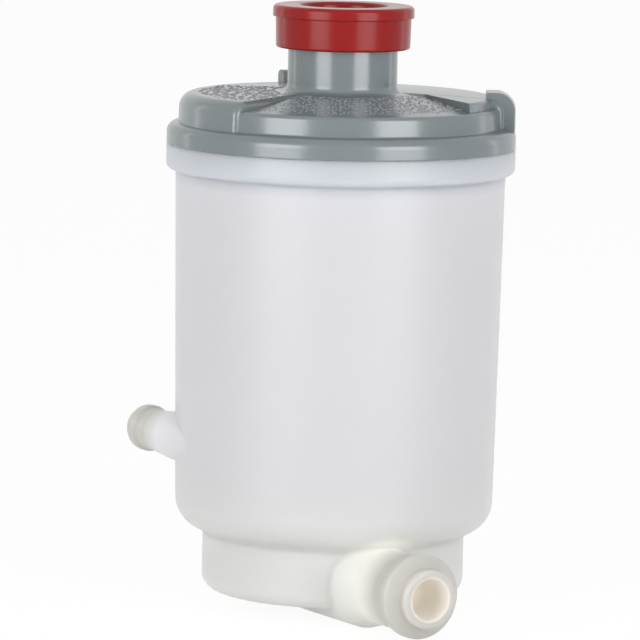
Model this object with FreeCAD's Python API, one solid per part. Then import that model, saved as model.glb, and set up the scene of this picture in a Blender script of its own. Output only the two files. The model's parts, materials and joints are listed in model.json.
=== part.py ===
import FreeCAD, Part
import math
import os

# Power steering fluid reservoir: a moulded tank with a sump and two hose nipples,
# a lid welded on its rim, a screw cap with its gasket and breather valve, and the
# strainer and baffle that stand inside. Millimetres, +Z up. The origin is on the
# tank's axis, in the plane of the flange's underside, where a bracket ring holds it.
# The suction nipple points along -Y and the return nipple along +Y.

Vector = FreeCAD.Vector
ORIGIN = Vector(0, 0, 0)
AXIS = Vector(0, 0, 1)

# How far shapes that are joined or cut run into each other
OVERLAP = 1.0
OVERLAP_DEG = 1.0
EDGE_ROUND = 0.5

# Tank
WALL = 2.0
FLANGE_R = 44.0
TANK_FLANGE_T = 6.6
TANK_FLANGE_ROUND = 1.7
FLANGE_CREASE = 0.8
BODY_R = 41.6
BODY_DEPTH = 88.0
DRAFT_DEG = 0.9
CORNER_ROUND = 8.0
FLOOR_FALL = 3.8
SUMP_R = 33.2
SUMP_DEPTH = 15.0
SUMP_ROUND = 4.0
SUMP_CREASE = 1.0
SEAT_RISE = 0.4
SEAT_W = 3.2

# Suction nipple, measured outwards from the plane Y = 0
SUCTION_X = -6.0
SUCTION_RISE = 6.7
SUCTION_REACH = 57.0
SUCTION_BORE_R = 5.25
SUCTION_SHANK_R = 9.5
SUCTION_BEAD_R = 10.5
SUCTION_BEAD_L = 2.0
SUCTION_TIP_R = 7.4
SUCTION_TIP_L = 2.3
SUCTION_TIP_ROUND = 0.8
SUCTION_BARB_L = 2.2
CHANNEL_R = 9.6
CHANNEL_START = -5.0
CHANNEL_END = 26.0
CHANNEL_TAPER_L = 7.0
CHANNEL_TAPER_ROUND = 3.0
CHANNEL_DOME = 0.9
BOSS_LEAD = 3.0

# Return nipple, measured outwards from the plane Y = 0
RETURN_X = -34.0
RETURN_DROP = 68.5
RETURN_REACH = 39.3
RETURN_BORE_R = 3.2
RETURN_BORE_START = 6.0
RETURN_SHANK_R = 5.3
RETURN_BEAD_R = 5.9
RETURN_BEAD_L = 2.0
RETURN_TIP_R = 4.7
RETURN_TIP_L = 2.6
RETURN_ROOT_R = 6.2
RETURN_ROOT_START = 2.0
RETURN_ROOT_END = 20.0
RETURN_ROOT_TAPER_L = 9.0
RETURN_ROOT_ROUND = 4.0
BEAD_BACK_L = 0.8

# Lid
LID_WALL = 2.4
LID_FLANGE_T = 5.2
LID_FLANGE_ROUND = 2.4
LOW_DRUM_R = 40.3
LOW_DRUM_H = 5.0
LOW_SHOULDER = 1.2
RAISED_PROUD = 0.9
RAISED_DRUM_H = 7.4
RAISED_SHOULDER = 3.8
TOP_H = 8.4
DRUM_LEAN = 0.3
RAISED_FROM_DEG = -40.0
RAISED_TO_DEG = 200.0
STEP_CORNER = 1.5
STEP_WALL_DEG = 4.0
CAVITY_ROUND = 2.0
APRON_FROM_DEG = -74.0
APRON_X = 16.4
APRON_R = 38.3
APRON_SHOULDER = 1.0
EAR_FROM_DEG = -38.5
EAR_SPAN_DEG = 14.0
EAR_INNER_R = 36.5
EAR_INSET = 0.2
EAR_H = 9.0
EAR_ROUND = 4.6
LUG_FROM_DEG = 69.0
LUG_SPAN_DEG = 14.0
LUG_INNER_R = 37.2
LUG_H = 10.5
LUG_ROUND = 1.6

# Filler neck and the thread that it shares with the cap
NECK_R = 13.8
NECK_BORE_R = 12.1
NECK_H = 26.8
NECK_FOOT = 2.0
PITCH = 3.5
THREAD_CREST_R = 15.0
THREAD_BASE_W = 1.7
THREAD_CREST_W = 0.9
THREAD_BITE = 0.4
NECK_THREAD_DROP = 6.0
NECK_THREAD_TURNS = 1.25
CAP_THREAD_FROM_DEG = 100.0
CAP_THREAD_TURNS = 1.35
CREST_GAP = 0.4
FLANK_GAP = 0.3

# Cap and gasket
CAP_SKIRT_R = 17.1
CAP_SKIRT_L = 7.9
CAP_SKIRT_LEAN = 0.2
CAP_SKIRT_ROUND = 0.6
CAP_LIP_R = 17.8
CAP_LIP_H = 2.9
CAP_TOP_T = 1.6
CAP_TOP_ROUND = 1.1
RECESS_R = 10.9
RECESS_DEPTH = 7.6
RECESS_FLOOR_R = 9.5
RECESS_ROUND = 1.2
PLUG_FLOOR_T = 1.5
PLUG_GAP = 0.4
PLUG_LAND = 2.5
PLUG_TAPER = 1.0
PLUG_ROUND = 0.8
GASKET_T = 1.6
GASKET_GAP = 0.25

# Breather valve in the cap's floor
VALVE_STEM_R = 1.2
VALVE_HEAD_R = 4.2
VALVE_HEAD_FLAT_R = 2.9
VALVE_HEAD_T = 1.3
VALVE_KNOB_R = 1.9
VALVE_KNOB_TOP_R = 1.1
VALVE_KNOB_H = 1.6
VALVE_PLAY = 0.05
VENT_R = 0.6
VENT_PCD_R = 2.6
VENT_COUNT = 3

# Strainer in the mouth of the sump
STRAINER_GAP = 0.3
STRAINER_FLANGE_T = 1.8
STRAINER_SPIGOT_L = 4.0
STRAINER_SPIGOT_T = 2.5
STRAINER_RIB_W = 1.8
STRAINER_RIB_H = 3.0
STRAINER_RIBS = 6
STRAINER_HUB_R = 5.0
MESH_T = 0.5
MESH_GAP = 0.1
MESH_DROP = 1.0
MESH_LAP = 1.1
MESH_HOLE_W = 2.6
MESH_PITCH = 4.9
MESH_BORDER = 3.4

# Baffle over the return inlet
BAFFLE_GAP = 2.0
BAFFLE_DROP = 52.0
BAFFLE_T = 2.0
BAFFLE_LIP_H = 2.0
BAFFLE_HOLES = 8
BAFFLE_HOLE_R = 3.5
BAFFLE_HOLE_PCD_R = 23.0
BAFFLE_EYE_R = 5.0
BAFFLE_LEGS = 3
BAFFLE_LEG_T = 1.8
BAFFLE_LEG_INSET = 0.6
BAFFLE_LEG_FROM_DEG = 40.0
BAFFLE_LEG_SPAN_DEG = 18.0

# Heights and radii that several pieces share
DRAFT = math.tan(math.radians(DRAFT_DEG))
CORNER_Z = -BODY_DEPTH
FLOOR_Z = CORNER_Z - FLOOR_FALL
SUMP_Z = FLOOR_Z - SUMP_DEPTH
SUMP_INNER_R = SUMP_R - WALL
SEAT_Z = FLOOR_Z + WALL + SEAT_RISE
SEAT_R = SUMP_INNER_R + SEAT_W
RETURN_Z = -RETURN_DROP
SUCTION_Z = SUMP_Z + SUCTION_RISE
BOSS_R = CHANNEL_R + WALL

PARTING_Z = TANK_FLANGE_T
LEDGE_Z = PARTING_Z + LID_FLANGE_T
LOW_RIM_Z = LEDGE_Z + LOW_DRUM_H
RAISED_RIM_Z = LEDGE_Z + RAISED_DRUM_H
RAISED_DRUM_R = LOW_DRUM_R + RAISED_PROUD
TOP_Z = LEDGE_Z + TOP_H

NECK_TOP_Z = LEDGE_Z + NECK_H
NECK_THREAD_Z = NECK_TOP_Z - NECK_THREAD_DROP
CAP_THREAD_BASE_R = THREAD_CREST_R + CREST_GAP
CAP_THREAD_CREST_R = NECK_R + CREST_GAP

GROOVE_Z = NECK_TOP_Z + GASKET_T
CAP_TOP_Z = GROOVE_Z + CAP_TOP_T
RECESS_FLOOR_Z = CAP_TOP_Z - RECESS_DEPTH
PLUG_Z = RECESS_FLOOR_Z - PLUG_FLOOR_T
PLUG_R = NECK_BORE_R - PLUG_GAP

STRAINER_TOP_Z = SEAT_Z + STRAINER_FLANGE_T
STRAINER_R = SEAT_R - STRAINER_GAP
SPIGOT_R = SUMP_INNER_R - STRAINER_GAP
SPIGOT_BORE_R = SPIGOT_R - STRAINER_SPIGOT_T
MESH_Z = STRAINER_TOP_Z - MESH_DROP
MESH_R = SPIGOT_BORE_R + MESH_LAP


def body_r(z):
    """Outer radius of the drafted tank wall at height z."""
    return BODY_R + z * DRAFT


def rounded_face(corners):
    """Face in the XZ plane through (x, z, radius) corners, each turned by a tangent arc."""
    points = [Vector(x, 0, z) for x, z, radius in corners]
    count = len(points)
    starts = []
    middles = []
    ends = []
    for i, (x, z, radius) in enumerate(corners):
        point = points[i]
        if radius <= 0:
            starts.append(point)
            middles.append(None)
            ends.append(point)
            continue
        back = (points[i - 1] - point).normalize()
        ahead = (points[(i + 1) % count] - point).normalize()
        half = back.getAngle(ahead) / 2
        reach = radius / math.tan(half)
        inward = (back + ahead).normalize()
        starts.append(point + back * reach)
        middles.append(point + inward * (radius / math.sin(half) - radius))
        ends.append(point + ahead * reach)
    edges = []
    for i in range(count):
        if middles[i] is not None:
            edges.append(Part.Arc(starts[i], middles[i], ends[i]).toShape())
        following = starts[(i + 1) % count]
        if ends[i].distanceToPoint(following) > 1e-6:
            edges.append(Part.LineSegment(ends[i], following).toShape())
    return Part.Face(Part.Wire(edges))


def turned(corners, start_deg=0.0, span_deg=360.0):
    """Solid of revolution about Z from (r, z, radius) corners, over part of a turn or all of it."""
    face = rounded_face(corners)
    face.rotate(ORIGIN, AXIS, start_deg)
    return face.revolve(ORIGIN, AXIS, span_deg)


def along_suction(solid):
    """Lay a solid turned about Z onto the suction nipple's axis, with its +Z towards -Y."""
    solid.rotate(ORIGIN, Vector(1, 0, 0), 90)
    solid.translate(Vector(SUCTION_X, 0, SUCTION_Z))
    return solid


def along_return(solid):
    """Lay a solid turned about Z onto the return nipple's axis, with its +Z towards +Y."""
    solid.rotate(ORIGIN, Vector(1, 0, 0), -90)
    solid.translate(Vector(RETURN_X, 0, RETURN_Z))
    return solid


def tank_outer():
    return turned([
        (0, SUMP_Z, 0),
        (SUMP_R, SUMP_Z, SUMP_ROUND),
        (SUMP_R, FLOOR_Z, SUMP_CREASE),
        (body_r(CORNER_Z), CORNER_Z, CORNER_ROUND),
        (BODY_R, 0, FLANGE_CREASE),
        (FLANGE_R, 0, TANK_FLANGE_ROUND),
        (FLANGE_R, PARTING_Z, 0),
        (0, PARTING_Z, 0),
    ])


def tank_inner():
    """Hollow of the tank, with the ledge round the sump's mouth that the strainer sits on."""
    top = PARTING_Z + OVERLAP
    return turned([
        (0, SUMP_Z + WALL, 0),
        (SUMP_INNER_R, SUMP_Z + WALL, SUMP_ROUND - WALL),
        (SUMP_INNER_R, SEAT_Z, 0),
        (SEAT_R, SEAT_Z, 0),
        (body_r(CORNER_Z) - WALL, CORNER_Z + WALL, CORNER_ROUND - WALL),
        (body_r(top) - WALL, top, 0),
        (0, top, 0),
    ])


def suction_outer():
    """Suction nipple and the half-round boss under the sump that leads into it."""
    tip_back = SUCTION_REACH - SUCTION_TIP_L
    bead_front = tip_back - SUCTION_BARB_L
    bead_back = bead_front - SUCTION_BEAD_L
    boss_end = CHANNEL_END + BOSS_LEAD
    return along_suction(turned([
        (0, CHANNEL_START - WALL, 0),
        (BOSS_R, CHANNEL_START - WALL, BOSS_R * CHANNEL_DOME),
        (BOSS_R, boss_end, CHANNEL_TAPER_ROUND),
        (SUCTION_SHANK_R, boss_end + CHANNEL_TAPER_L, CHANNEL_TAPER_ROUND),
        (SUCTION_SHANK_R, bead_back - BEAD_BACK_L, 0),
        (SUCTION_BEAD_R, bead_back, 0),
        (SUCTION_BEAD_R, bead_front, 0),
        (SUCTION_TIP_R, tip_back, 0),
        (SUCTION_TIP_R, SUCTION_REACH, SUCTION_TIP_ROUND),
        (0, SUCTION_REACH, 0),
    ]))


def suction_inner():
    """Channel in the sump's floor that narrows into the suction nipple's bore."""
    past = SUCTION_REACH + OVERLAP
    return along_suction(turned([
        (0, CHANNEL_START, 0),
        (CHANNEL_R, CHANNEL_START, CHANNEL_R * CHANNEL_DOME),
        (CHANNEL_R, CHANNEL_END, CHANNEL_TAPER_ROUND),
        (SUCTION_BORE_R, CHANNEL_END + CHANNEL_TAPER_L, 0),
        (SUCTION_BORE_R, past, 0),
        (0, past, 0),
    ]))


def return_outer():
    """Return nipple, whose root runs along the side of the tank."""
    tip_back = RETURN_REACH - RETURN_TIP_L
    bead_back = tip_back - RETURN_BEAD_L
    return along_return(turned([
        (0, RETURN_ROOT_START, 0),
        (RETURN_ROOT_R, RETURN_ROOT_START, 0),
        (RETURN_ROOT_R, RETURN_ROOT_END, 0),
        (RETURN_SHANK_R, RETURN_ROOT_END + RETURN_ROOT_TAPER_L, RETURN_ROOT_ROUND),
        (RETURN_SHANK_R, bead_back - BEAD_BACK_L, 0),
        (RETURN_BEAD_R, bead_back, 0),
        (RETURN_BEAD_R, tip_back, 0),
        (RETURN_TIP_R, RETURN_REACH, EDGE_ROUND),
        (0, RETURN_REACH, 0),
    ]))


def return_inner():
    past = RETURN_REACH + OVERLAP
    return along_return(turned([
        (0, RETURN_BORE_START, 0),
        (RETURN_BORE_R, RETURN_BORE_START, 0),
        (RETURN_BORE_R, past, 0),
        (0, past, 0),
    ]))


def make_tank():
    outer = tank_outer().fuse([suction_outer(), return_outer()])
    return outer.cut([tank_inner(), suction_inner(), return_inner()])


def lid_low():
    """Flange, drum and shallow cone of the lid at the lower level, with the neck."""
    return turned([
        (0, PARTING_Z, 0),
        (FLANGE_R, PARTING_Z, 0),
        (FLANGE_R, LEDGE_Z, LID_FLANGE_ROUND),
        (LOW_DRUM_R, LEDGE_Z, EDGE_ROUND),
        (LOW_DRUM_R - DRUM_LEAN, LOW_RIM_Z, LOW_SHOULDER),
        (NECK_R, TOP_Z, NECK_FOOT),
        (NECK_R, NECK_TOP_Z, EDGE_ROUND),
        (0, NECK_TOP_Z, 0),
    ])


def raised_sector(outer_r, shoulder, start_deg, span_deg):
    """Sector of the raised land out to outer_r, its top on the cone that all of it shares."""
    root_z = LEDGE_Z - LID_FLANGE_T / 2
    inner_r = (NECK_R + NECK_BORE_R) / 2
    slope = (TOP_Z - RAISED_RIM_Z) / (RAISED_DRUM_R - DRUM_LEAN - inner_r)
    rim_z = RAISED_RIM_Z + slope * (RAISED_DRUM_R - outer_r)
    return turned([
        (inner_r, root_z, 0),
        (outer_r, root_z, 0),
        (outer_r - DRUM_LEAN, rim_z, shoulder),
        (inner_r, TOP_Z, 0),
    ], start_deg, span_deg)


def rounded_step(sector):
    """Round the upright outer corners at the two ends of the raised land."""
    corners = []
    for edge in sector.Edges:
        box = edge.BoundBox
        upright = box.ZLength > LOW_DRUM_H / 2 and math.hypot(box.XLength, box.YLength) < STEP_CORNER
        outside = math.hypot(box.Center.x, box.Center.y) > LOW_DRUM_R - STEP_CORNER
        if upright and outside:
            corners.append(edge)
    return sector.makeFillet(STEP_CORNER, corners)


def ear():
    """Lug that stands out to the flange's rim at the end of the raised land."""
    outer_r = FLANGE_R - EAR_INSET
    return turned([
        (EAR_INNER_R, LEDGE_Z - OVERLAP, 0),
        (outer_r, LEDGE_Z - OVERLAP, 0),
        (outer_r, LEDGE_Z + EAR_H, EAR_ROUND),
        (EAR_INNER_R, LEDGE_Z + EAR_H, EDGE_ROUND),
    ], EAR_FROM_DEG, EAR_SPAN_DEG)


def lug():
    """Upright locating lug on the raised land's rim, at the back."""
    outer_r = RAISED_DRUM_R - DRUM_LEAN
    return turned([
        (LUG_INNER_R, LEDGE_Z, 0),
        (outer_r, LEDGE_Z, 0),
        (outer_r, LEDGE_Z + LUG_H, LUG_ROUND),
        (LUG_INNER_R, LEDGE_Z + LUG_H, LUG_ROUND),
    ], LUG_FROM_DEG, LUG_SPAN_DEG)


def apron():
    """Part of the raised land that runs on past the ear, cut straight along Y."""
    span = RAISED_FROM_DEG - APRON_FROM_DEG + OVERLAP_DEG
    sector = raised_sector(APRON_R, APRON_SHOULDER, APRON_FROM_DEG, span)
    keep = Part.makeBox(FLANGE_R, 2 * FLANGE_R, NECK_H, Vector(APRON_X, -2 * FLANGE_R, PARTING_Z))
    return sector.common(keep)


def lid_cavity():
    """Hollow under the lid, with the neck's bore and a deeper pocket under the raised land."""
    below = PARTING_Z - OVERLAP
    above = NECK_TOP_Z + OVERLAP
    low = turned([
        (0, below, 0),
        (body_r(PARTING_Z) - WALL, below, 0),
        (LOW_DRUM_R - LID_WALL, LOW_RIM_Z - LID_WALL, CAVITY_ROUND),
        (NECK_BORE_R, TOP_Z - LID_WALL, 0),
        (NECK_BORE_R, above, 0),
        (0, above, 0),
    ])
    pocket_r = RAISED_DRUM_R - LID_WALL
    pocket = turned([
        (NECK_BORE_R + EDGE_ROUND, PARTING_Z, 0),
        (pocket_r, PARTING_Z, 0),
        (pocket_r - DRUM_LEAN, RAISED_RIM_Z - LID_WALL, CAVITY_ROUND),
        (NECK_BORE_R + EDGE_ROUND, TOP_Z - LID_WALL, 0),
    ], RAISED_FROM_DEG + STEP_WALL_DEG, RAISED_TO_DEG - RAISED_FROM_DEG - 2 * STEP_WALL_DEG)
    return low.fuse(pocket)


def thread(base_r, crest_r, centre_z, turns, start_deg):
    """Helical ridge from base_r to crest_r; centre_z is its middle's height at angle 0."""
    bite = THREAD_BITE if crest_r > base_r else -THREAD_BITE
    flank = (THREAD_BASE_W - THREAD_CREST_W) / 2 / abs(crest_r - base_r)
    root_r = base_r - bite
    root_half = THREAD_BASE_W / 2 + flank * THREAD_BITE
    crest_half = THREAD_CREST_W / 2
    profile = Part.makePolygon([
        Vector(root_r, 0, -root_half),
        Vector(crest_r, 0, -crest_half),
        Vector(crest_r, 0, crest_half),
        Vector(root_r, 0, root_half),
        Vector(root_r, 0, -root_half),
    ])
    helix = Part.makeHelix(PITCH, PITCH * turns, base_r)
    ridge = Part.Wire(helix).makePipeShell([profile], True, True)
    ridge.rotate(ORIGIN, AXIS, start_deg)
    ridge.translate(Vector(0, 0, centre_z + PITCH * start_deg / 360))
    return ridge


def cap_thread_z():
    """Height at angle 0 that puts the cap's upper flank FLANK_GAP below the neck's lower one."""
    slope = (THREAD_BASE_W - THREAD_CREST_W) / 2 / (THREAD_CREST_R - NECK_R)
    neck_half = THREAD_BASE_W / 2 - slope * CREST_GAP
    return NECK_THREAD_Z - neck_half - THREAD_CREST_W / 2 - FLANK_GAP


def make_lid():
    raised_span = RAISED_TO_DEG - RAISED_FROM_DEG
    raised = rounded_step(
        raised_sector(RAISED_DRUM_R, RAISED_SHOULDER, RAISED_FROM_DEG, raised_span))
    ridge = thread(NECK_R, THREAD_CREST_R, NECK_THREAD_Z, NECK_THREAD_TURNS, 0)
    outer = lid_low().fuse([raised, apron(), ear(), lug(), ridge])
    return outer.cut(lid_cavity())


def make_cap():
    """Screw cap: skirt, raised rim, deep finger recess and the plug that enters the neck."""
    lip_z = CAP_TOP_Z - CAP_LIP_H
    bottom_z = lip_z - CAP_SKIRT_L
    body = turned([
        (0, PLUG_Z, 0),
        (PLUG_R - PLUG_TAPER, PLUG_Z, PLUG_ROUND),
        (PLUG_R, GROOVE_Z - PLUG_LAND, 0),
        (PLUG_R, GROOVE_Z, 0),
        (CAP_THREAD_BASE_R, GROOVE_Z, 0),
        (CAP_THREAD_BASE_R, bottom_z, 0),
        (CAP_SKIRT_R - CAP_SKIRT_LEAN, bottom_z, CAP_SKIRT_ROUND),
        (CAP_SKIRT_R, lip_z, 0),
        (CAP_LIP_R, lip_z, 0),
        (CAP_LIP_R, CAP_TOP_Z, CAP_TOP_ROUND),
        (RECESS_R, CAP_TOP_Z, CAP_TOP_ROUND),
        (RECESS_FLOOR_R, RECESS_FLOOR_Z, RECESS_ROUND),
        (0, RECESS_FLOOR_Z, 0),
    ])
    ridge = thread(
        CAP_THREAD_BASE_R, CAP_THREAD_CREST_R, cap_thread_z(), CAP_THREAD_TURNS, CAP_THREAD_FROM_DEG)
    hole_l = PLUG_FLOOR_T + 2 * OVERLAP
    hole_z = PLUG_Z - OVERLAP
    holes = [Part.makeCylinder(VALVE_STEM_R + VALVE_PLAY, hole_l, Vector(0, 0, hole_z))]
    for i in range(VENT_COUNT):
        angle = 2 * math.pi * i / VENT_COUNT
        spot = Vector(VENT_PCD_R * math.cos(angle), VENT_PCD_R * math.sin(angle), hole_z)
        holes.append(Part.makeCylinder(VENT_R, hole_l, spot))
    return body.fuse(ridge).cut(holes)


def make_gasket():
    """Flat ring round the cap's plug, squeezed between the neck's rim and the cap."""
    inner_r = PLUG_R + GASKET_GAP
    return turned([
        (inner_r, NECK_TOP_Z, 0),
        (THREAD_CREST_R, NECK_TOP_Z, 0),
        (THREAD_CREST_R, GROOVE_Z, 0),
        (inner_r, GROOVE_Z, 0),
    ])


def make_valve():
    """Rubber umbrella valve: a domed head under the plug, a stem and a retaining knob above."""
    return turned([
        (0, PLUG_Z - VALVE_HEAD_T, 0),
        (VALVE_HEAD_FLAT_R, PLUG_Z - VALVE_HEAD_T, EDGE_ROUND),
        (VALVE_HEAD_R, PLUG_Z, 0),
        (VALVE_STEM_R, PLUG_Z, 0),
        (VALVE_STEM_R, RECESS_FLOOR_Z, 0),
        (VALVE_KNOB_R, RECESS_FLOOR_Z, 0),
        (VALVE_KNOB_TOP_R, RECESS_FLOOR_Z + VALVE_KNOB_H, EDGE_ROUND),
        (0, RECESS_FLOOR_Z + VALVE_KNOB_H, 0),
    ])


def make_strainer_frame():
    """Flanged ring in the sump's mouth, with ribs that meet in a hub under the mesh."""
    mesh_bed_r = MESH_R + MESH_GAP
    ring = turned([
        (SPIGOT_BORE_R, SEAT_Z - STRAINER_SPIGOT_L, 0),
        (SPIGOT_R, SEAT_Z - STRAINER_SPIGOT_L, EDGE_ROUND),
        (SPIGOT_R, SEAT_Z, 0),
        (STRAINER_R, SEAT_Z, 0),
        (STRAINER_R, STRAINER_TOP_Z, EDGE_ROUND),
        (mesh_bed_r, STRAINER_TOP_Z, 0),
        (mesh_bed_r, MESH_Z, 0),
        (SPIGOT_BORE_R, MESH_Z, 0),
    ])
    rib_z = MESH_Z - STRAINER_RIB_H
    rib_l = SPIGOT_BORE_R + OVERLAP
    pieces = [Part.makeCylinder(STRAINER_HUB_R, STRAINER_RIB_H, Vector(0, 0, rib_z))]
    for i in range(STRAINER_RIBS):
        corner = Vector(0, -STRAINER_RIB_W / 2, rib_z)
        rib = Part.makeBox(rib_l, STRAINER_RIB_W, STRAINER_RIB_H, corner)
        rib.rotate(ORIGIN, AXIS, 360.0 * i / STRAINER_RIBS)
        pieces.append(rib)
    return ring.fuse(pieces)


def make_strainer_mesh():
    """Screen disc, its weave stood for by a grid of square gaps."""
    disc = Part.makeCylinder(MESH_R, MESH_T, Vector(0, 0, MESH_Z))
    reach = MESH_R - MESH_BORDER
    steps = int(reach / MESH_PITCH)
    gaps = []
    for i in range(-steps, steps + 1):
        for j in range(-steps, steps + 1):
            x = i * MESH_PITCH
            y = j * MESH_PITCH
            if math.hypot(x, y) > reach:
                continue
            corner = Vector(x - MESH_HOLE_W / 2, y - MESH_HOLE_W / 2, MESH_Z - OVERLAP)
            gaps.append(Part.makeBox(MESH_HOLE_W, MESH_HOLE_W, MESH_T + 2 * OVERLAP, corner))
    return disc.cut(gaps)


def make_baffle():
    """Drilled plate over the return inlet, on legs that stand on the strainer's flange."""
    top_z = -BAFFLE_DROP
    under_z = top_z - BAFFLE_T
    lip_z = top_z + BAFFLE_LIP_H
    plate_r = body_r(top_z) - WALL - BAFFLE_GAP
    plate = turned([
        (BAFFLE_EYE_R, under_z, 0),
        (plate_r, under_z, EDGE_ROUND),
        (plate_r, lip_z, 0),
        (plate_r - BAFFLE_LEG_T, lip_z, 0),
        (plate_r - BAFFLE_LEG_T, top_z, EDGE_ROUND),
        (BAFFLE_EYE_R, top_z, 0),
    ])
    leg_r = STRAINER_R - BAFFLE_LEG_INSET
    leg_top_z = top_z - BAFFLE_T / 2
    legs = []
    for i in range(BAFFLE_LEGS):
        start = BAFFLE_LEG_FROM_DEG + 360.0 * i / BAFFLE_LEGS
        legs.append(turned([
            (leg_r - BAFFLE_LEG_T, STRAINER_TOP_Z, 0),
            (leg_r, STRAINER_TOP_Z, 0),
            (leg_r, leg_top_z, 0),
            (leg_r - BAFFLE_LEG_T, leg_top_z, 0),
        ], start, BAFFLE_LEG_SPAN_DEG))
    holes = []
    for i in range(BAFFLE_HOLES):
        angle = 2 * math.pi * i / BAFFLE_HOLES
        x = BAFFLE_HOLE_PCD_R * math.cos(angle)
        y = BAFFLE_HOLE_PCD_R * math.sin(angle)
        spot = Vector(x, y, under_z - OVERLAP)
        holes.append(Part.makeCylinder(BAFFLE_HOLE_R, BAFFLE_T + 2 * OVERLAP, spot))
    return plate.fuse(legs).cut(holes)


PIECES = {
    "tank": make_tank,
    "lid": make_lid,
    "filler_cap": make_cap,
    "cap_gasket": make_gasket,
    "vent_valve": make_valve,
    "strainer_frame": make_strainer_frame,
    "strainer_mesh": make_strainer_mesh,
    "baffle_plate": make_baffle,
}

os.makedirs("parts", exist_ok=True)
for name, make in PIECES.items():
    shape = make().removeSplitter()
    if len(shape.Solids) == 1:
        shape = shape.Solids[0]
    shape.exportStep("parts/" + name + ".step")
    print(name, "solids", len(shape.Solids), "valid", shape.isValid(), "volume", round(shape.Volume, 1))
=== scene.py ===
import json
import math
import random

import bmesh
import bpy
from mathutils import Matrix, Quaternion, Vector


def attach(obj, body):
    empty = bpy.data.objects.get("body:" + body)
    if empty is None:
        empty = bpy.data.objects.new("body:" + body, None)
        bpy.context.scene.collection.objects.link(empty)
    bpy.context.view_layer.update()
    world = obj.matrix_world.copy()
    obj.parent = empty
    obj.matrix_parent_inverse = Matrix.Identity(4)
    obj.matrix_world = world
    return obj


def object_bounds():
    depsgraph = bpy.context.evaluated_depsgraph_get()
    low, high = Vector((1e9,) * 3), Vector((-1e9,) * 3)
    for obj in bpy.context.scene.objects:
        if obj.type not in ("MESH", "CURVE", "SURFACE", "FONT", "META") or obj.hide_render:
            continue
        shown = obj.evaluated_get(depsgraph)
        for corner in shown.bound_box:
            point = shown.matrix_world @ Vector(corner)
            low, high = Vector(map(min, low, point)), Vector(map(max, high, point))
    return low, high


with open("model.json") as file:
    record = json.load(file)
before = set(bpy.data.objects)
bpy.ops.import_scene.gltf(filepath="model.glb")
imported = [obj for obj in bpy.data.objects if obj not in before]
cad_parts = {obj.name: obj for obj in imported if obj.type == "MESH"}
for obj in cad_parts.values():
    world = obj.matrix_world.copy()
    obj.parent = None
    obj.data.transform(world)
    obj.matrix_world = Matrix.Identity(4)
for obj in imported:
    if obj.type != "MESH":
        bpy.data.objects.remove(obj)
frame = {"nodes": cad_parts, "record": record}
cad_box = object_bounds()
scene = bpy.context.scene
nodes = frame["nodes"]


# The camera's place: a long lens from a little above, on the side where both nipples
# show. The camera leans slightly, and its axis misses the picture's middle.
AZIMUTH = math.radians(-31.0)
ELEVATION = math.radians(6.95)
LEAN = math.radians(1.19)
DISTANCE = 1.3517
AIM = Vector((0, 0, -0.0318))
LENS_MM = 300.6
SENSOR_MM = 36.0
SHIFT = (-0.0280, -0.0383)


def direction(azimuth, elevation):
    """Unit vector from the object towards a place at that azimuth and elevation."""
    flat = math.cos(elevation)
    return Vector((math.sin(azimuth) * flat, -math.cos(azimuth) * flat, math.sin(elevation)))


def aimed(obj, place, target):
    """Put a lamp or camera at place, looking at target."""
    obj.rotation_mode = "QUATERNION"
    obj.location = place
    obj.rotation_quaternion = (target - place).to_track_quat("-Z", "Y")


camera = bpy.data.objects.new("camera", bpy.data.cameras.new("camera"))
scene.collection.objects.link(camera)
aimed(camera, AIM + direction(AZIMUTH, ELEVATION) * DISTANCE, AIM)
camera.rotation_quaternion @= Quaternion((0, 0, 1), LEAN)
camera.data.sensor_width = SENSOR_MM
camera.data.lens = LENS_MM
camera.data.shift_x, camera.data.shift_y = SHIFT
scene.camera = camera


# The studio: two upright softboxes beside the camera give the paired bands on every
# curve, two thin ones behind edge the sides, and the white room fills the rest.
SOFTBOX_ANGLE = math.radians(40)
SOFTBOX_SIZE = (0.56, 1.1)
SOFTBOX_POWER = 8.5
EDGE_ANGLE = math.radians(121)
EDGE_SIZE = (0.08, 1.0)
EDGE_POWER = 0.4
LAMP_DISTANCE = 1.0
ROOM_LIGHT = 0.42
ROOM_SEEN = 1.0
scene.view_settings.view_transform = "Standard"


def softbox(name, angle, size, power):
    """Upright rectangular lamp at that angle round from the camera, turned to the object."""
    data = bpy.data.lights.new(name, "AREA")
    data.shape = "RECTANGLE"
    data.size, data.size_y = size
    data.energy = power
    lamp = bpy.data.objects.new(name, data)
    scene.collection.objects.link(lamp)
    aimed(lamp, AIM + direction(AZIMUTH + angle, 0) * LAMP_DISTANCE, AIM)
    lamp.visible_camera = False


for side, sign in (("left", -1), ("right", 1)):
    softbox("softbox_" + side, sign * SOFTBOX_ANGLE, SOFTBOX_SIZE, SOFTBOX_POWER)
    softbox("edge_box_" + side, sign * EDGE_ANGLE, EDGE_SIZE, EDGE_POWER)

world = bpy.data.worlds.new("white_room")
scene.world = world
world.use_nodes = True
room = world.node_tree
room.nodes.clear()


def white_rays(tree):
    """Socket that is 1 for the rays that see plain white: camera, glossy and transmission."""
    ray = tree.nodes.new("ShaderNodeLightPath")
    seen = ray.outputs["Is Camera Ray"]
    for kind in ("Is Glossy Ray", "Is Transmission Ray"):
        either = tree.nodes.new("ShaderNodeMath")
        either.operation = "MAXIMUM"
        tree.links.new(seen, either.inputs[0])
        tree.links.new(ray.outputs[kind], either.inputs[1])
        seen = either.outputs[0]
    return seen


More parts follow.
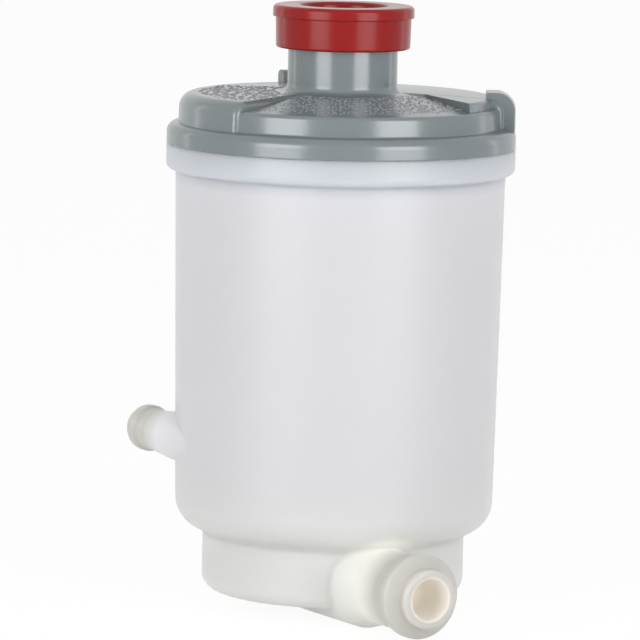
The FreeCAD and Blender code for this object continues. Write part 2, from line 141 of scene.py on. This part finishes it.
strength = room.nodes.new("ShaderNodeMapRange")
strength.inputs["To Min"].default_value = ROOM_LIGHT
strength.inputs["To Max"].default_value = ROOM_SEEN
glow = room.nodes.new("ShaderNodeBackground")
glow.inputs["Color"].default_value = (1, 1, 1, 1)
world_out = room.nodes.new("ShaderNodeOutputWorld")
room.links.new(white_rays(room), strength.inputs["Value"])
room.links.new(strength.outputs["Result"], glow.inputs["Strength"])
room.links.new(glow.outputs["Background"], world_out.inputs["Surface"])


# The table: a white sheet just under the lowest point. The camera sees it as nearly pure
# white, so that only a faint trace of the object's shadow shows on it. From below it is
# clear, so that the underside can be looked at.
FLOOR_REACH = 6.0
FLOOR_WHITE = 0.9
FLOOR_GLOW = 1.05
SHADOW_LEFT = 0.12

floor_mesh = bmesh.new()
bmesh.ops.create_grid(floor_mesh, x_segments=1, y_segments=1, size=FLOOR_REACH)
bmesh.ops.translate(floor_mesh, verts=floor_mesh.verts, vec=(0, 0, cad_box[0].z))
floor_data = bpy.data.meshes.new("floor")
floor_mesh.to_mesh(floor_data)
floor_mesh.free()
floor = bpy.data.objects.new("floor", floor_data)
scene.collection.objects.link(floor)

paper = bpy.data.materials.new("white_sheet")
paper.use_nodes = True
sheet = paper.node_tree
sheet.nodes.clear()
matt = sheet.nodes.new("ShaderNodeBsdfDiffuse")
matt.inputs["Color"].default_value = (FLOOR_WHITE, FLOOR_WHITE, FLOOR_WHITE, 1)
lit = sheet.nodes.new("ShaderNodeEmission")
lit.inputs["Strength"].default_value = FLOOR_GLOW
sheet_share = sheet.nodes.new("ShaderNodeMath")
sheet_share.operation = "MULTIPLY"
sheet_share.inputs[1].default_value = 1 - SHADOW_LEFT
sheet_mix = sheet.nodes.new("ShaderNodeMixShader")
sheet.links.new(white_rays(sheet), sheet_share.inputs[0])
sheet.links.new(sheet_share.outputs[0], sheet_mix.inputs[0])
sheet.links.new(matt.outputs[0], sheet_mix.inputs[1])
sheet.links.new(lit.outputs[0], sheet_mix.inputs[2])
underside = sheet.nodes.new("ShaderNodeNewGeometry")
see_through = sheet.nodes.new("ShaderNodeBsdfTransparent")
one_sided = sheet.nodes.new("ShaderNodeMixShader")
sheet_out = sheet.nodes.new("ShaderNodeOutputMaterial")
sheet.links.new(underside.outputs["Backfacing"], one_sided.inputs[0])
sheet.links.new(sheet_mix.outputs[0], one_sided.inputs[1])
sheet.links.new(see_through.outputs[0], one_sided.inputs[2])
sheet.links.new(one_sided.outputs[0], sheet_out.inputs["Surface"])
floor_data.materials.append(paper)


# The tank: one moulding of natural polypropylene, milky and satin. It is bluer higher up,
# yellower and lighter lower down, and its flange greyer with painted shade from the lid.
# A grain is its scale, its height and the scale of the slow changes of tone under it.
TANK_WHITE = (0.85, 0.85, 0.93, 1)
TANK_SHADE = (0.83, 0.835, 0.89, 1)
TANK_YELLOW = (0.93, 0.928, 0.85, 1)
TANK_BLUE = (0.82, 0.825, 0.945, 1)
# Painted shade: the flange's grey, where the lid shades it.
TANK_RIM_PAINTED_SHADE = (0.58, 0.61, 0.66, 1)
TANK_ROUGH = 0.27
TANK_GRAIN = (700, 0.00001, 18)
TANK_SCATTER = 1.0
TANK_SCATTER_DEPTH = 0.008
NIPPLE_TONE = (0.56, 0.545, 0.510, 1)
# Painted light: emission colours that glow in the suction bore and in the creases.
BORE_PAINTED_LIGHT = (0.24, 0.21, 0.18, 1)
CREASE_PAINTED_LIGHT = (0.25, 0.246, 0.212, 1)
CREASE_REACH = 0.014
CREASE_OPENNESS = (0.5, 0.0)
CREASE_SAMPLES = 8

# Heights at which a tone starts and is full.
YELLOW_HEIGHTS = (-0.070, -0.098)
BLUE_HEIGHTS = (-0.065, -0.020)
# The flange's painted shade from the lid starts and is full at these heights.
RIM_SHADE_HEIGHTS = (-0.004, 0.001)

# Places on the nipples: how far out from the axis, over what fade, and from where to where
# along the tank's Y.
SUCTION_TONED = (0.0120, 0.002, -0.038, -0.046)
# Where the painted light in the suction bore glows.
SUCTION_BORE_PAINTED_LIGHT = (0.0053, 0.0006, -0.030, -0.036)
SUCTION_BLEND = (0.0130, 0.004, -0.042, -0.036)
RETURN_TONED = (0.0066, 0.001, 0.022, 0.030)

# How far a moulded edge looks rounded, and the detail of the skin's two noises.
EDGE_ROUND = 0.0004
TANK_EDGE_ROUND = 0.0012
BOSS_EDGE_ROUND = 0.0034
EDGE_SAMPLES = 6
PATCH_DETAIL = 4
GRAIN_DETAIL = 2
PLAIN_GLOSS = 0.5


def moulded_skin():
    """Shader group for moulded plastic: slow changes of tone and gloss, and a fine skin."""
    group = bpy.data.node_groups.new("moulded_skin", "ShaderNodeTree")
    for label, kind, value in (
        ("Colour", "NodeSocketColor", (0.5, 0.5, 0.5, 1)),
        ("Shade", "NodeSocketColor", (0.4, 0.4, 0.4, 1)),
        ("Patch Scale", "NodeSocketFloat", 30.0),
        ("Roughness", "NodeSocketFloat", 0.4),
        ("Roughness Change", "NodeSocketFloat", 0.08),
        ("Grain Scale", "NodeSocketFloat", 900.0),
        ("Grain Height", "NodeSocketFloat", 0.00002),
        ("Edge Round", "NodeSocketFloat", EDGE_ROUND),
    ):
        socket = group.interface.new_socket(name=label, in_out="INPUT", socket_type=kind)
        socket.default_value = value
    group.interface.new_socket(name="Colour", in_out="OUTPUT", socket_type="NodeSocketColor")
    group.interface.new_socket(name="Roughness", in_out="OUTPUT", socket_type="NodeSocketFloat")
    group.interface.new_socket(name="Normal", in_out="OUTPUT", socket_type="NodeSocketVector")
    made = group.nodes
    link = group.links.new
    given = made.new("NodeGroupInput")
    place = made.new("ShaderNodeTexCoord")
    patches = made.new("ShaderNodeTexNoise")
    patches.inputs["Detail"].default_value = PATCH_DETAIL
    grain = made.new("ShaderNodeTexNoise")
    grain.inputs["Detail"].default_value = GRAIN_DETAIL
    tone = made.new("ShaderNodeMix")
    tone.data_type = "RGBA"
    change = made.new("ShaderNodeMath")
    change.operation = "MULTIPLY_ADD"
    edges = made.new("ShaderNodeBevel")
    edges.samples = EDGE_SAMPLES
    bump = made.new("ShaderNodeBump")
    bump.inputs["Strength"].default_value = 1.0
    out = made.new("NodeGroupOutput")
    link(given.outputs["Edge Round"], edges.inputs["Radius"])
    link(edges.outputs["Normal"], bump.inputs["Normal"])
    link(place.outputs["Object"], patches.inputs["Vector"])
    link(place.outputs["Object"], grain.inputs["Vector"])
    link(given.outputs["Patch Scale"], patches.inputs["Scale"])
    link(given.outputs["Grain Scale"], grain.inputs["Scale"])
    link(patches.outputs["Fac"], tone.inputs["Factor"])
    link(given.outputs["Colour"], tone.inputs["A"])
    link(given.outputs["Shade"], tone.inputs["B"])
    link(patches.outputs["Fac"], change.inputs[0])
    link(given.outputs["Roughness Change"], change.inputs[1])
    link(given.outputs["Roughness"], change.inputs[2])
    link(grain.outputs["Fac"], bump.inputs["Height"])
    link(given.outputs["Grain Height"], bump.inputs["Distance"])
    link(tone.outputs["Result"], out.inputs["Colour"])
    link(change.outputs[0], out.inputs["Roughness"])
    link(bump.outputs["Normal"], out.inputs["Normal"])
    return group


SKIN = moulded_skin()


def finish(name, colour, shade, roughness, grain, gloss=PLAIN_GLOSS, edge_round=EDGE_ROUND):
    """Material with the moulded skin on a plain shader."""
    made = bpy.data.materials.new(name)
    made.use_nodes = True
    tree = made.node_tree
    shader = tree.nodes["Principled BSDF"]
    shader.inputs["Specular IOR Level"].default_value = gloss
    skin = tree.nodes.new("ShaderNodeGroup")
    skin.name = "skin"
    skin.node_tree = SKIN
    grain_scale, grain_height, patch_scale = grain
    skin.inputs["Colour"].default_value = colour
    skin.inputs["Shade"].default_value = shade
    skin.inputs["Roughness"].default_value = roughness
    skin.inputs["Grain Scale"].default_value = grain_scale
    skin.inputs["Grain Height"].default_value = grain_height
    skin.inputs["Patch Scale"].default_value = patch_scale
    skin.inputs["Edge Round"].default_value = edge_round
    tree.links.new(skin.outputs["Colour"], shader.inputs["Base Color"])
    tree.links.new(skin.outputs["Roughness"], shader.inputs["Roughness"])
    tree.links.new(skin.outputs["Normal"], shader.inputs["Normal"])
    return made


def dress(name, material):
    """Give a CAD node its material, and return the node."""
    node = nodes[name]
    node.data.materials.clear()
    node.data.materials.append(material)
    return node


tank_plastic = finish("milky_polypropylene", TANK_WHITE, TANK_SHADE, TANK_ROUGH, TANK_GRAIN)
tank_tree = tank_plastic.node_tree
tank_skin = tank_tree.nodes["skin"]
tank_shader = tank_tree.nodes["Principled BSDF"]
tank_shader.inputs["Subsurface Weight"].default_value = TANK_SCATTER
tank_shader.inputs["Subsurface Radius"].default_value = (1, 1, 1)
tank_shader.inputs["Subsurface Scale"].default_value = TANK_SCATTER_DEPTH
tank_place = tank_tree.nodes.new("ShaderNodeTexCoord")
tank_split = tank_tree.nodes.new("ShaderNodeSeparateXYZ")
tank_tree.links.new(tank_place.outputs["Object"], tank_split.inputs[0])


def by_height(start, full):
    """Mask that goes smoothly from 0 at height start to 1 at height full."""
    rise = tank_tree.nodes.new("ShaderNodeMapRange")
    rise.interpolation_type = "SMOOTHSTEP"
    rise.inputs["From Min"].default_value = start
    rise.inputs["From Max"].default_value = full
    tank_tree.links.new(tank_split.outputs["Z"], rise.inputs["Value"])
    return rise.outputs["Result"]


def near_nipple(name, radius, fade, y_start, y_full):
    """Mask that is 1 within radius of a nipple's axis and past y_full along it, and 0 outside."""
    mount = [one for one in frame["record"]["mounts"] if one["name"] == name][0]
    x, y, z = mount["pos_m"]
    flat = tank_tree.nodes.new("ShaderNodeMapping")
    flat.inputs["Location"].default_value = (-x, 0, -z)
    flat.inputs["Scale"].default_value = (1, 0, 1)
    from_axis = tank_tree.nodes.new("ShaderNodeVectorMath")
    from_axis.operation = "LENGTH"
    near_axis = tank_tree.nodes.new("ShaderNodeMapRange")
    near_axis.inputs["From Min"].default_value = radius + fade
    near_axis.inputs["From Max"].default_value = radius
    along = tank_tree.nodes.new("ShaderNodeMapRange")
    along.inputs["From Min"].default_value = y_start
    along.inputs["From Max"].default_value = y_full
    both = tank_tree.nodes.new("ShaderNodeMath")
    both.operation = "MULTIPLY"
    tank_tree.links.new(tank_place.outputs["Object"], flat.inputs["Vector"])
    tank_tree.links.new(flat.outputs["Vector"], from_axis.inputs[0])
    tank_tree.links.new(from_axis.outputs["Value"], near_axis.inputs["Value"])
    tank_tree.links.new(tank_split.outputs["Y"], along.inputs["Value"])
    tank_tree.links.new(near_axis.outputs["Result"], both.inputs[0])
    tank_tree.links.new(along.outputs["Result"], both.inputs[1])
    return both.outputs[0]


def toned(base, mask, tone):
    """Mix a colour socket, or black where base is None, towards a tone by a mask."""
    mix = tank_tree.nodes.new("ShaderNodeMix")
    mix.data_type = "RGBA"
    mix.inputs["A"].default_value = (0, 0, 0, 1)
    mix.inputs["B"].default_value = tone
    if base is not None:
        tank_tree.links.new(base, mix.inputs["A"])
    tank_tree.links.new(mask, mix.inputs["Factor"])
    return mix.outputs["Result"]


# The tank is yellower and lighter lower down and bluer higher up, the flange is greyer with
# painted shade from the lid, and both nipples are a little darker and warmer at their ends.
tank_tone = toned(tank_skin.outputs["Colour"], by_height(*YELLOW_HEIGHTS), TANK_YELLOW)
tank_tone = toned(tank_tone, by_height(*BLUE_HEIGHTS), TANK_BLUE)
# Painted shade on the flange, where the lid shades it.
tank_tone = toned(tank_tone, by_height(*RIM_SHADE_HEIGHTS), TANK_RIM_PAINTED_SHADE)
tank_tone = toned(tank_tone, near_nipple("suction_nipple", *SUCTION_TONED), NIPPLE_TONE)
tank_tone = toned(tank_tone, near_nipple("return_nipple", *RETURN_TONED), NIPPLE_TONE)
tank_tree.links.new(tank_tone, tank_shader.inputs["Base Color"])

# Painted light: emission glows in the creases, where an ambient occlusion node finds the walls
# shading each other, and in the suction bore, standing in for light through the milky walls.
openness = tank_tree.nodes.new("ShaderNodeAmbientOcclusion")
openness.only_local = True
openness.samples = CREASE_SAMPLES
openness.inputs["Distance"].default_value = CREASE_REACH
crease_light_mask = tank_tree.nodes.new("ShaderNodeMapRange")
crease_light_mask.inputs["From Min"].default_value, crease_light_mask.inputs["From Max"].default_value = CREASE_OPENNESS
tank_tree.links.new(openness.outputs["AO"], crease_light_mask.inputs["Value"])
tank_painted_light = toned(None, crease_light_mask.outputs["Result"], CREASE_PAINTED_LIGHT)
tank_painted_light = toned(tank_painted_light, near_nipple("suction_nipple", *SUCTION_BORE_PAINTED_LIGHT), BORE_PAINTED_LIGHT)
tank_tree.links.new(tank_painted_light, tank_shader.inputs["Emission Color"])
tank_shader.inputs["Emission Strength"].default_value = 1.0

# Creases are rounded in the moulding, and most of all where the boss runs into the sump.
blend = tank_tree.nodes.new("ShaderNodeMapRange")
blend.inputs["To Min"].default_value = TANK_EDGE_ROUND
blend.inputs["To Max"].default_value = BOSS_EDGE_ROUND
tank_tree.links.new(near_nipple("suction_nipple", *SUCTION_BLEND), blend.inputs["Value"])
tank_tree.links.new(blend.outputs["Result"], tank_skin.inputs["Edge Round"])
dress("tank", tank_plastic)


# The lid: one blue-grey moulding in semi-gloss plastic, with the filler neck on it. It is
# welded on the tank's rim by its flange.
LID_GREY = (0.172, 0.205, 0.216, 1)
LID_SHADE = (0.150, 0.180, 0.190, 1)
LID_ROUGH = 0.17
LID_GRAIN = (800, 0.000012, 40)
LID_GLOSS = 0.9

lid = dress("lid", finish("blue_grey_plastic", LID_GREY, LID_SHADE, LID_ROUGH, LID_GRAIN, LID_GLOSS))


# Fine relief moulded on the lid's top: rows of short raised strokes on the low front and
# on the land at the left, coloured paler than the lid as a painted sheen for the light they
# catch. Each zone has the angles where it starts and ends, and one at which its level is read.
RELIEF_SEED = 7
RELIEF_INNER_R = 0.0178
RELIEF_ROWS = 10
RELIEF_ROW_STEP = 0.0019
RELIEF_SPACING = 0.00105
RELIEF_ZONES = ((-154, -42, -121), (118, 199, 150))
RELIEF_LEVEL = 0.00015
# Painted sheen: the strokes' colours are paler than the lid's in place of the light they catch.
RELIEF_SHEEN_GREY = (0.345, 0.350, 0.380, 1)
RELIEF_SHEEN_SHADE = (0.295, 0.305, 0.325, 1)
RELIEF_ROUGH = 0.36
RELIEF_GRAIN = (1200, 0.00001, 400)
RELIEF_GLOSS = 0.35
RELIEF_EDGE_ROUND = 0.00005
STROKE_WIDTH = 0.00060
STROKE_LENGTH = 0.0017
STROKE_HEIGHT = 0.00018
STROKE_SINK = 0.00006
STROKE_PLACES = (0.2, 0.8)
STROKE_LENGTHS = (0.45, 1.0)
STROKE_TILT = 0.9
STROKE_SHIFT = 0.0009
STROKE_TOP = 0.6
STROKE_SIDES = 6
STROKE_CHANCE = 0.9


def lid_top(angle, radius):
    """Point and normal where a line straight down at that angle and radius meets the lid."""
    start = Vector((radius * math.cos(angle), radius * math.sin(angle), cad_box[1].z))
    found, point, normal, face = lid.ray_cast(start, Vector((0, 0, -1)))
    return point, normal


def stroke_place(point, normal, turn, length):
    """Matrix that lays a unit cone as one stroke on the lid at that point."""
    raised = Matrix.Translation(point + normal * (STROKE_HEIGHT / 2 - STROKE_SINK))
    stand = Vector((0, 0, 1)).rotation_difference(normal).to_matrix().to_4x4()
    size = Matrix.Diagonal((STROKE_WIDTH, STROKE_LENGTH * length, STROKE_HEIGHT, 1))
    return raised @ stand @ Matrix.Rotation(turn, 4, "Z") @ size


marks = random.Random(RELIEF_SEED)
relief_mesh = bmesh.new()
for start_deg, end_deg, level_deg in RELIEF_ZONES:
    span = math.radians(end_deg - start_deg)
    for row in range(RELIEF_ROWS):
        radius = RELIEF_INNER_R + row * RELIEF_ROW_STEP
        level = lid_top(math.radians(level_deg), radius)[0].z
        count = int(span * radius / RELIEF_SPACING)
        for i in range(count):
            angle = math.radians(start_deg) + span * (i + marks.uniform(*STROKE_PLACES)) / count
            tilt = marks.uniform(-STROKE_TILT, STROKE_TILT)
            length = marks.uniform(*STROKE_LENGTHS)
            point, normal = lid_top(angle, radius + marks.uniform(-STROKE_SHIFT, STROKE_SHIFT))
            if abs(point.z - level) > RELIEF_LEVEL or marks.random() > STROKE_CHANCE:
                continue
            bmesh.ops.create_cone(
                relief_mesh, cap_ends=True, segments=STROKE_SIDES, radius1=0.5,
                radius2=0.5 * STROKE_TOP, depth=1,
                matrix=stroke_place(point, normal, angle + math.pi / 2 + tilt, length))
relief_data = bpy.data.meshes.new("lid_relief")
relief_mesh.to_mesh(relief_data)
relief_mesh.free()
relief_data.materials.append(finish(
    "relief_painted_sheen", RELIEF_SHEEN_GREY, RELIEF_SHEEN_SHADE, RELIEF_ROUGH, RELIEF_GRAIN, RELIEF_GLOSS,
    RELIEF_EDGE_ROUND))
relief = bpy.data.objects.new("lid_relief", relief_data)
scene.collection.objects.link(relief)
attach(relief, "reservoir")


# The cap: one moulding in deep red plastic, glossy, screwed on the neck's thread. Its
# turned-out rim is what fingers hold.
CAP_RED = (0.310, 0.0045, 0.0045, 1)
CAP_SHADE = (0.270, 0.004, 0.004, 1)
CAP_ROUGH = 0.18
CAP_GRAIN = (900, 0.00001, 60)
CAP_GLOSS = 0.27

dress("filler_cap", finish("deep_red_plastic", CAP_RED, CAP_SHADE, CAP_ROUGH, CAP_GRAIN, CAP_GLOSS))


# Gasket and breather valve: black nitrile rubber, dull with a dusty bloom. The gasket is
# pinched between neck and cap, and the valve sits in the cap's floor.
RUBBER = (0.018, 0.018, 0.019, 1)
RUBBER_BLOOM = (0.045, 0.045, 0.046, 1)
RUBBER_ROUGH = 0.6
RUBBER_GRAIN = (1500, 0.00003, 90)

rubber = finish("black_rubber", RUBBER, RUBBER_BLOOM, RUBBER_ROUGH, RUBBER_GRAIN)
dress("cap_gasket", rubber)
dress("vent_valve", rubber)


# Strainer frame and baffle: natural nylon, off-white and satin. They stand in the tank
# on the ledge round the sump's mouth.
NYLON = (0.66, 0.65, 0.58, 1)
NYLON_SHADE = (0.60, 0.58, 0.50, 1)
NYLON_ROUGH = 0.42
NYLON_GRAIN = (900, 0.00002, 45)

nylon = finish("natural_nylon", NYLON, NYLON_SHADE, NYLON_ROUGH, NYLON_GRAIN)
dress("strainer_frame", nylon)
dress("baffle_plate", nylon)


# Strainer mesh: woven stainless wire, held in its frame's ring. The solid's grid of gaps
# stands for the weave.
STEEL = (0.52, 0.52, 0.51, 1)
STEEL_SHADE = (0.42, 0.42, 0.41, 1)
STEEL_ROUGH = 0.3
STEEL_GRAIN = (2600, 0.00005, 120)

steel = finish("woven_steel", STEEL, STEEL_SHADE, STEEL_ROUGH, STEEL_GRAIN)
steel.node_tree.nodes["Principled BSDF"].inputs["Metallic"].default_value = 1.0
dress("strainer_mesh", steel)
